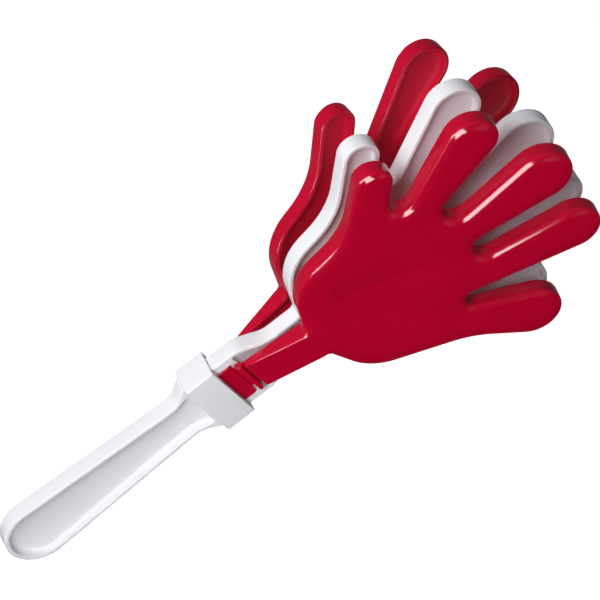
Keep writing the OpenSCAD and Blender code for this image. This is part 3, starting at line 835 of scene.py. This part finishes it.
# %% White moulding: outlines
FACE_Y, RIM_W, RECESS_D, RECESS_H, RECESS_CORNER = 3.7, 2.2, 2.8, 9.1, 1.0
WRIST_HALF, SHOULDER_H, SHOULDER_R, WAIST_HALF, WAIST_UP, WAIST_R = 15.2, 10.7, 9.0, 8.3, 16.8, 10.5
SLEEVE_H, LEDGE_HALF, LEDGE_R, LEDGE_FILLET = 13.5, 16.0, 0.8, 0.2
LEDGE_STEPS, LEDGE_FILLET_STEPS = 6, 4
HANDLE_LEN, HANDLE_END_R, HANDLE_HALF, FLARE_H, FLARE_R = 114.0, 15.0, 10.4, -25.0, 10.5
HANDLE_END, FLARE_X = HANDLE_END_R - HANDLE_LEN, HANDLE_HALF + FLARE_R
TROUGH_TOP, TROUGH_HALF, TROUGH_CORNER = -15.4, 9.6, 0.8


def white_sides(inset):
    waist = [(SHOULDER_R - WRIST_HALF, SHOULDER_H, SHOULDER_R - inset, PALM_STEPS),
             (-WAIST_HALF - WAIST_R, SHOULDER_H + WAIST_UP, -WAIST_R - inset, PALM_STEPS)]
    return [*waist, *hand_chain(WAIST_HALF, inset), *mirrored(waist)]


def handle_end(inset):
    return 0, HANDLE_END, HANDLE_END_R - inset, 2 * PALM_STEPS


def flare(inset):
    return -FLARE_X, FLARE_H, -FLARE_R - inset, PALM_STEPS


ledge = [flare(0), (LEDGE_R - LEDGE_HALF, -SLEEVE_H - LEDGE_R, LEDGE_R, LEDGE_STEPS),
         (-WRIST_HALF - LEDGE_FILLET, LEDGE_FILLET - SLEEVE_H, -LEDGE_FILLET, LEDGE_FILLET_STEPS)]
white_edge = outline([handle_end(0), *ledge, *white_sides(0), *mirrored(ledge)])
recess_x = WRIST_HALF - RIM_W - RECESS_CORNER
recess_corner = [(recess_x, RECESS_H + RECESS_CORNER, RECESS_CORNER, CORNER_STEPS)]
recess_edge = outline([*mirrored(recess_corner), *white_sides(RIM_W), *recess_corner])
trough_side = [flare(RIM_W), (-TROUGH_HALF, TROUGH_TOP - TROUGH_CORNER, TROUGH_CORNER, CORNER_STEPS)]
trough_edge = outline([handle_end(RIM_W), *trough_side, *mirrored(trough_side)])
print("white outlines:", len(white_edge), len(recess_edge), len(trough_edge), "points")

# %% [markdown]
# The recess of the hand has a flat floor with a fillet round it. The recess of the handle is a scooped
# trough: its floor bends up across the handle and runs into its walls in one curve, so every ring of it is
# shrunk towards the handle's middle line and sunk by a rule of its distance from the wall. Its upper end
# stands steeper than its sides. Both recesses start with the same rounded lip.

# %% White moulding: recess and trough rings
LIP_R, FLOOR_R, SUPPORT, LIP_WEAR, ROUND_STEPS = 0.7, 0.7, 0.12, 0.7, 5
SCOOP_R, TROUGH_SOFT, TROUGH_END_SOFT, TROUGH_HEAD = 50.0, 2.8, 1.2, 9.0
TROUGH_RINGS, TROUGH_EASE = 32, 1.5


def lip(edge):
    rings = [(lifted(edge, -LIP_R - SUPPORT, FACE_Y), 0.0)]
    for aside, under in quarter(ROUND_STEPS):
        rings.append((lifted(edge, -LIP_R * under, FACE_Y - LIP_R * aside), LIP_WEAR))
    return rings


def trough_ring(share):
    points = []
    for x, h, _, nh in trough_edge:
        middle = Vector((0, max(HANDLE_END, min(TROUGH_TOP - TROUGH_HEAD, h))))
        from_middle = Vector((x, h)) - middle
        at = middle + from_middle * share
        off = (1 - share) * from_middle.length
        soft = TROUGH_SOFT + (TROUGH_END_SOFT - TROUGH_SOFT) * max(0.0, nh) ** 2
        floor = RECESS_D - (SCOOP_R - math.sqrt(SCOOP_R ** 2 - at.x ** 2))
        sunk = LIP_R + (floor - LIP_R) * math.sqrt(1 - (1 - min(1.0, off / soft)) ** 2)
        points.append((at.x, -(FACE_Y - sunk), WRIST + at.y))
    return points


recess_floor = FACE_Y - RECESS_D
recess_rings = lip(recess_edge)
for aside, under in quarter(ROUND_STEPS):
    recess_rings.append((lifted(recess_edge, FLOOR_R * aside, recess_floor + FLOOR_R * under), 0.0))
recess_rings.append((lifted(recess_edge, FLOOR_R + SUPPORT, recess_floor), 0.0))
trough_shares = [math.cos(math.pi / 2 * s / TROUGH_RINGS) ** TROUGH_EASE for s in range(1, TROUGH_RINGS)]
trough_rings = lip(trough_edge) + [(trough_ring(share), 0.0) for share in [*trough_shares, 0.0]]
print("recess:", len(recess_rings), "rings, trough:", len(trough_rings), "rings")

# %% [markdown]
# The side wall is rounded into both faces. Each face is then filled between the outer edge and the two
# recesses. The back is the front with its depth turned round.

# %% White moulding: skin
SIDE_R, SIDE_STEPS = 0.66, 6

white = Skin()
front_rings = [white.ring(lifted(white_edge, SIDE_R + SUPPORT, FACE_Y))]
for aside, under in quarter(SIDE_STEPS):
    front_rings.append(white.ring(lifted(white_edge, SIDE_R * under, FACE_Y - SIDE_R * aside), LIP_WEAR))
back_rings = []
for ring in front_rings:
    back_rings.append(white.ring([(v.co.x, -v.co.y, v.co.z) for v in ring], ring[0][white.worn]))
white.wall(front_rings + back_rings[::-1])

for way, outer_ring in ((1, front_rings[0]), (-1, back_rings[0])):
    holes = []
    for rings in (recess_rings, trough_rings):
        made = [white.ring([(x, way * y, z) for x, y, z in points], worn) for points, worn in rings]
        white.wall(made)
        holes.append(made[0])
        if rings is recess_rings:
            white.fill([made[-1]])
    white.fill([outer_ring, *holes])
white_mesh = white.done("white_moulding", white_plastic)

# %% [markdown]
# The roots of the red hands lie in shallow pockets on the wrist block. A pocket is a plain cut with square
# corners, so a Boolean modifier makes it: a box is taken away from each face, and the result is turned into
# a plain mesh.

# %% White moulding: tab pockets
POCKET_D, POCKET_HALF, TAB_IN, CUT_PAST = 1.0, 10.9, 12.4, 1.0


def block(name, low, high):
    work = bmesh.new()
    bmesh.ops.create_cube(work, size=1.0)
    for v in work.verts:
        v.co = [MM * (high[i] if v.co[i] > 0 else low[i]) for i in range(3)]
    mesh = bpy.data.meshes.new(name)
    work.to_mesh(mesh)
    work.free()
    return add_object(name, mesh)


carrier = add_object("white_uncut", white_mesh)
cutters = []
for near, far in ((-FACE_Y - CUT_PAST, POCKET_D - FACE_Y), (FACE_Y - POCKET_D, FACE_Y + CUT_PAST)):
    low, high = WRIST - TAB_IN, WRIST + RECESS_H + CUT_PAST
    cutters.append(block("pocket_cut", (-POCKET_HALF, near, low), (POCKET_HALF, far, high)))
    cut = carrier.modifiers.new("pocket", "BOOLEAN")
    cut.operation, cut.object, cut.solver = "DIFFERENCE", cutters[-1], "EXACT"
white_mesh = plain_mesh(carrier, "white_moulding")
for cutter in cutters:
    bpy.data.objects.remove(cutter)
white_mesh.set_sharp_from_angle(angle=SHARP)
add_piece("white_moulding", white_mesh, "centre_hand_handle", "handle")
print("white moulding with pockets:", len(white_mesh.polygons), "faces")

# %% [markdown]
# ## The clamp sleeve
# A rectangular ring with thick front and back walls, pushed over the wrist block. It is a rounded rectangle
# carried up, over a soft edge, down the inside and back: rings again, this time lying flat.

# %% Clamp sleeve
SLEEVE_OUT, SLEEVE_CORNER, SLEEVE_SOFT, SLEEVE_WEAR = (16.8, 6.8), 0.9, 0.5, 0.8
SLEEVE_IN, SLEEVE_IN_CORNER, SLEEVE_IN_SOFT = (15.4, 4.2), 0.3, 0.25


def rounded_rectangle(half, r):
    x, y = half[0] - r, half[1] - r
    return outline([(px, py, r, CORNER_STEPS) for px, py in ((-x, -y), (-x, y), (x, y), (x, -y))])


def flat_ring(points, inset, h):
    return [(x - nx * inset, y - ny * inset, WRIST + h) for x, y, nx, ny in points]


sleeve = Skin()
sleeve_rings = []
for half, corner, soft, way in ((SLEEVE_OUT, SLEEVE_CORNER, SLEEVE_SOFT, 1),
                                (SLEEVE_IN, SLEEVE_IN_CORNER, SLEEVE_IN_SOFT, -1)):
    points, bend = rounded_rectangle(half, corner), quarter(ROUND_STEPS)
    rings = [flat_ring(points, way * soft * under, -SLEEVE_H + soft * aside) for aside, under in bend]
    rings += [flat_ring(points, way * soft * aside, -soft * under) for aside, under in bend]
    sleeve_rings += [sleeve.ring(ring, SLEEVE_WEAR) for ring in rings][::way]
sleeve.wall(sleeve_rings + sleeve_rings[:1])
sleeve_mesh = sleeve.done("clamp_sleeve_ring", white_plastic)
add_piece("clamp_sleeve_ring", sleeve_mesh, "clamp_sleeve", "handle")

# %% [markdown]
# ## Root tabs and hinge links
# Each red hand hangs on a double hinge: a flat root tab, a thin film, a short stiff link, a second film, and
# the arm. Tab and link keep one side profile over their whole width, so the profile is drawn once, as pairs
# of depth and height, and its corners are softened.

# %% Side profiles of tab and link
POCKET_Y, TAB_Y, TAB_HALF, TAB_OUT = 2.7, 4.2, 10.8, 6.2
LINK_Y, LINK_OUT, LINK_H, LINK_LEN, FILM_T = 3.0, 6.3, 7.2, 3.0, 0.6
SLOPE, SMALL_SOFT, SOFT_MOST, SOFT_STEPS = math.tan(math.radians(16)), 0.22, 0.3, 3


def softened(profile):
    points = []
    for i, corner in enumerate(profile):
        here = Vector(corner)
        back = (Vector(profile[i - 1]) - here).normalized()
        on = (Vector(profile[(i + 1) % len(profile)]) - here).normalized()
        reach = min(SMALL_SOFT / math.tan(back.angle(on) / 2), SOFT_MOST)
        for s in range(SOFT_STEPS + 1):
            t = s / SOFT_STEPS
            a, b = here + back * reach * (1 - t), here + on * reach * t
            points.append(a * (1 - t) + b * t)
    return points


tab_profile = softened([
    (POCKET_Y, -TAB_IN), (POCKET_Y, TAB_OUT), (LINK_Y + FILM_T, TAB_OUT),
    (TAB_Y, TAB_OUT - (TAB_Y - LINK_Y - FILM_T) * SLOPE), (TAB_Y, -TAB_IN)])
link_top = LINK_H + LINK_LEN
link_profile = softened([
    (LINK_Y, LINK_H), (LINK_Y, link_top), (RIM_Y + FILM_T, link_top),
    (LINK_OUT, link_top - (LINK_OUT - RIM_Y - FILM_T) * SLOPE),
    (LINK_OUT, LINK_H + (LINK_OUT - LINK_Y - FILM_T) * SLOPE), (LINK_Y + FILM_T, LINK_H)])
print("profiles: tab", len(tab_profile), "points, link", len(link_profile), "points")

# %% [markdown]
# The profile is carried along X from station to station. A station says where it is, how much of its height
# the profile keeps there, how far it is drawn in, and how much it is rubbed. That rounds the ends of the tab
# and the thumb end of the link. At its little finger end the link has a rounded lug: there the profile
# shrinks in height along a quarter circle.

# %% Root tabs and links
LINK_REACH, LUG_REACH, LUG_LEAST, TAB_CORNERS = 8.9, 9.6, 0.3, (0.4, 0.9)
END_STEPS, TAB_STEPS, LUG_STEPS, END_WEAR, LUG_WEAR = 3, 6, 10, 0.6, 0.4


def bar(name, profile, stations, middle_h):
    skin = Skin()
    rings = []
    centre = sum(profile, Vector((0, 0))) / len(profile)
    for x, height, inset, worn in stations:
        drawn_in = [p + (centre - p).normalized() * inset for p in profile]
        points = [(x, -q.x, WRIST + middle_h + (q.y - middle_h) * height) for q in drawn_in]
        rings.append(skin.ring(points, worn))
    return skin.rod(rings, name)


def tab_end(way, r):
    return [(way * (TAB_HALF - r * under), 1 - r * aside / TAB_OUT, 0.0, END_WEAR)
            for aside, under in quarter(TAB_STEPS)]


tab_stations = tab_end(-1, TAB_CORNERS[0])[::-1] + tab_end(1, TAB_CORNERS[1])
tab_mesh = bar("root_tab", tab_profile, tab_stations, 0.0)
lug_r = LINK_LEN / 2
link_stations = [(SMALL_SOFT * under - LINK_REACH, 1.0, SMALL_SOFT * aside, END_WEAR)
                 for aside, under in reversed(quarter(END_STEPS))]
for aside, under in quarter(LUG_STEPS):
    kept = max(LUG_LEAST, math.sqrt(max(0.0, 1 - aside)))
    link_stations.append((LUG_REACH - lug_r * under, kept, 0.0, LUG_WEAR))
link_mesh = bar("hinge_link", link_profile, link_stations, LINK_H + lug_r)
for side in ("front", "back"):
    tab = put(tab_mesh.copy(), Matrix.Identity(4), side)
    add_piece("root_tab_" + side, tab, side + "_root_tab", "handle")
    link = put(link_mesh.copy(), swung(LOWER_AXIS, half_tilt(side)), side)
    add_piece("hinge_link_" + side, link, side + "_hinge_link", side + "_link")

# %% [markdown] ## The films A film hinge is the plastic itself, moulded so thin that it bends. When the hand
# swings, a film can't ride on one body, so it rides on none; it is made bent to the hand's resting tilt. The
# film needs rows enough to bend smoothly, and its ends reach a little into both neighbours, so no slit opens.

# %% Films
FILM_ROWS, FILM_SUNK, FILM_LEN, FILM_HALF, FILM_CORNER = 12, 0.35, 1.0, 7.2, 0.15
LOWER_REACH, UPPER_REACH = 7.6, 8.8


def film_mesh(name, axis, tilt, reach):
    skin = Skin()
    rings = []
    half = (reach + FILM_HALF) / 2
    section = rounded_rectangle((half, FILM_T / 2), FILM_CORNER)
    low = axis[1] - FILM_LEN / 2
    for s in range(FILM_ROWS + 1):
        h = low - FILM_SUNK + (FILM_LEN + 2 * FILM_SUNK) * s / FILM_ROWS
        t = max(0.0, min(1.0, (h - low) / FILM_LEN))
        turn = swung(axis, tilt * t * t * (3 - 2 * t))
        points = [Vector((x + FILM_HALF - half, y - axis[0], WRIST + h)) for x, y, _, _ in section]
        rings.append(skin.ring([turn @ (p * MM) / MM for p in points]))
    return skin.rod(rings, name)


for side in ("front", "back"):
    tilt = half_tilt(side)
    link_turn = swung(LOWER_AXIS, tilt)
    for name, axis, reach, place, bodies in (
            ("lower_film", LOWER_AXIS, LOWER_REACH, Matrix.Identity(4), ("handle", side + "_link")),
            ("upper_film", UPPER_AXIS, UPPER_REACH, link_turn, (side + "_link", side + "_palm"))):
        mesh = put(film_mesh(f"{name}_{side}", axis, tilt, reach), place, side)
        film = add_piece(f"{name}_{side}", mesh, f"{side}_{name}", None)
        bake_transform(film)

# %% [markdown]
# ## The studio
# The photograph is a plain studio shot on white. To the camera and in reflections the surroundings are
# white. To the plastic they are a dim fill, a little brighter from the thumb side, the front and above, so
# that a colour renders about as it is written. Light Path tells these rays apart.

# %% World
FILL, FILL_LEAN, FILL_LEAST = 0.10, (-0.06, -0.03, 0.04), 0.02
WHITE = (1, 1, 1, 1)


def seen_rays(w):
    rays = w.tree.nodes.new("ShaderNodeLightPath").outputs
    mirrored_rays = w.math("MAXIMUM", rays["Is Glossy Ray"], rays["Is Transmission Ray"])
    return w.math("MAXIMUM", rays["Is Camera Ray"], mirrored_rays)


world = bpy.data.worlds.new("white_studio")
bpy.context.scene.world = world
world.use_nodes = True
world.node_tree.nodes.clear()
w = Wiring(world.node_tree)
lean = w.dot(w.add("ShaderNodeTexCoord", out="Generated"), FILL_LEAN)
fill = w.math("MAXIMUM", w.plus(lean, FILL), FILL_LEAST)
sky = w.add("ShaderNodeBackground", {"Color": WHITE, "Strength": w.mix(seen_rays(w), fill, 1.0)})
w.feed(w.tree.nodes.new("ShaderNodeOutputWorld").inputs["Surface"], sky)
print("world:", len(world.node_tree.nodes), "nodes")

# %% [markdown]
# The floor is a large pale sheet well below the clapper. It gets its white in the same way, with a glow that
# only the camera and reflections see. Close to the clapper it glows less, so that the soft shadow there
# stays.

# %% Floor
FLOOR_DROP, FLOOR_HALF, GLOW_SPAN, GLOW = 0.85, 40, (0.1, 1.6), (0.80, 0.93)
PALE, PALER = (0.90, 0.90, 0.90, 1), (0.93, 0.93, 0.93, 1)


def stage_piece(name, mesh, material, place):
    mesh.materials.append(material)
    piece = add_object(name, mesh)
    piece.matrix_world = place
    return piece


floor_paint = bpy.data.materials.new("pale_floor")
floor_paint.use_nodes = True
w = Wiring(floor_paint.node_tree)
paint = floor_paint.node_tree.nodes["Principled BSDF"].inputs
place = w.add("ShaderNodeTexCoord", out="Object")
w.feed(paint["Base Color"], w.mix_colour(w.noise(place, scale=3.0), PALE, PALER))
paint["Roughness"].default_value = 0.9
paint["Emission Color"].default_value = WHITE
away = w.add("ShaderNodeVectorMath", {0: place}, out="Value", operation="LENGTH")
w.feed(paint["Emission Strength"], w.times(seen_rays(w), w.ramp(away, *GLOW_SPAN, *GLOW)))
floor_mesh = bpy.data.meshes.new("pale_floor")
floor_corners = [(FLOOR_HALF * x, FLOOR_HALF * y, 0) for x, y in ((-1, -1), (1, -1), (1, 1), (-1, 1))]
floor_mesh.from_pydata(floor_corners, [], [(0, 1, 2, 3)])
floor = stage_piece("pale_floor", floor_mesh, floor_paint, Matrix.Translation((0, 0, -FLOOR_DROP)))
print("floor at", round(floor.matrix_world.translation.z, 3), "m")

# %% [markdown]
# ## Light
# Four large soft boxes light the colours: the key beside the camera, and weaker ones in front, on the thumb
# side and behind. Reflections don't see them. Gloss is a matter of its own: a shiny surface shows what
# stands in the mirror direction. So four smaller boxes are there for reflections only, and draw the bright
# streaks along the finger edges, the arm and the back.

# %% Lamps
HEART = Vector((0, 0, 0.13))
COLOUR_AWAY, COLOUR_SPREAD, STREAK_AWAY = 1.3, math.radians(70), 0.9
# Each box: azimuth and elevation in degrees, width and height in metres, and watts.
COLOUR_BOXES = {
    "key_box": (-150, -12, 0.6, 0.7, 2.08), "front_box": (-92, -18, 0.6, 0.6, 0.75),
    "side_box": (-198, -5, 0.6, 0.6, 0.8), "rear_box": (78, 0, 0.6, 0.6, 1.2)}
STREAK_BOXES = {
    "streak_box": (-76.5, -11.6, 0.455, 0.172, 3.1), "low_streak_box": (-82.5, -23, 0.26, 0.19, 1.9),
    "arm_streak_box": (-102, -31, 0.16, 0.13, 1.0), "back_streak_box": (76.5, -10.7, 0.455, 0.197, 2.0)}


def heading(azimuth, elevation):
    a, e = math.radians(azimuth), math.radians(elevation)
    return Vector((math.cos(e) * math.cos(a), math.cos(e) * math.sin(a), math.sin(e)))


def soft_box(name, distance, azimuth, elevation, width, height, watts):
    lamp = bpy.data.lights.new(name, "AREA")
    lamp.shape, lamp.size, lamp.size_y, lamp.energy = "RECTANGLE", width, height, watts
    box = add_object(name, lamp)
    toward = heading(azimuth, elevation)
    facing = toward.to_track_quat("Z", "Y").to_matrix().to_4x4()
    box.matrix_world = Matrix.Translation(HEART + distance * toward) @ facing
    box.visible_camera = False
    return box


for name, sizes in COLOUR_BOXES.items():
    box = soft_box(name, COLOUR_AWAY, *sizes)
    box.visible_glossy = False
    box.data.spread = COLOUR_SPREAD
for name, sizes in STREAK_BOXES.items():
    soft_box(name, STREAK_AWAY, *sizes).visible_diffuse = False

# %% [markdown]
# A flat red face must mirror something dark to stay red. So a dark tent hangs round the clapper, which only
# reflections see: a flattened sphere whose brightness depends on the direction from the clapper. It is dim
# all round. Each lobe below is a direction, the angles from it where the lobe starts and where it is full,
# and the brightness there: black where the flat front faces look, a faint glow straight behind the clapper,
# and a small faint spot beside the black.

# %% Dark tent
TENT_DIM, TENT_SIZE, TENT_FINENESS = 0.09, (1.05, 1.05, 0.93), 5
LOBES = [(heading(-40, -16), 62, 30, 0.0), (heading(41.7, -9.7), 60, 38, 0.15),
         (heading(-57, 5), 9, 4, 0.28)]

tent_paint = bpy.data.materials.new("dark_tent")
tent_paint.use_nodes = True
tent_paint.node_tree.nodes.clear()
w = Wiring(tent_paint.node_tree)
way = w.vector("NORMALIZE", w.add("ShaderNodeTexCoord", out="Object"), (0, 0, 0))
bright = TENT_DIM
for toward, start, full, brightness in LOBES:
    start, full = math.cos(math.radians(start)), math.cos(math.radians(full))
    share = w.ramp(w.dot(way, toward), start, full, interpolation_type="SMOOTHSTEP")
    bright = w.mix(share, bright, brightness)
glow = w.add("ShaderNodeEmission", {"Color": WHITE, "Strength": bright})
w.feed(w.tree.nodes.new("ShaderNodeOutputMaterial").inputs["Surface"], glow)

work = bmesh.new()
bmesh.ops.create_icosphere(work, subdivisions=TENT_FINENESS, radius=1.0)
tent_mesh = bpy.data.meshes.new("dark_tent")
work.to_mesh(tent_mesh)
work.free()
tent_mesh.transform(Matrix.Diagonal((*TENT_SIZE, 1)))
tent = stage_piece("dark_tent", tent_mesh, tent_paint, Matrix.Translation(HEART))
for rays in ("camera", "diffuse", "transmission", "volume_scatter", "shadow"):
    setattr(tent, "visible_" + rays, False)
print("tent:", len(tent_mesh.polygons), "faces")

# %% [markdown] ## The end
# The finished clapper has to stay as large as the engineering model.
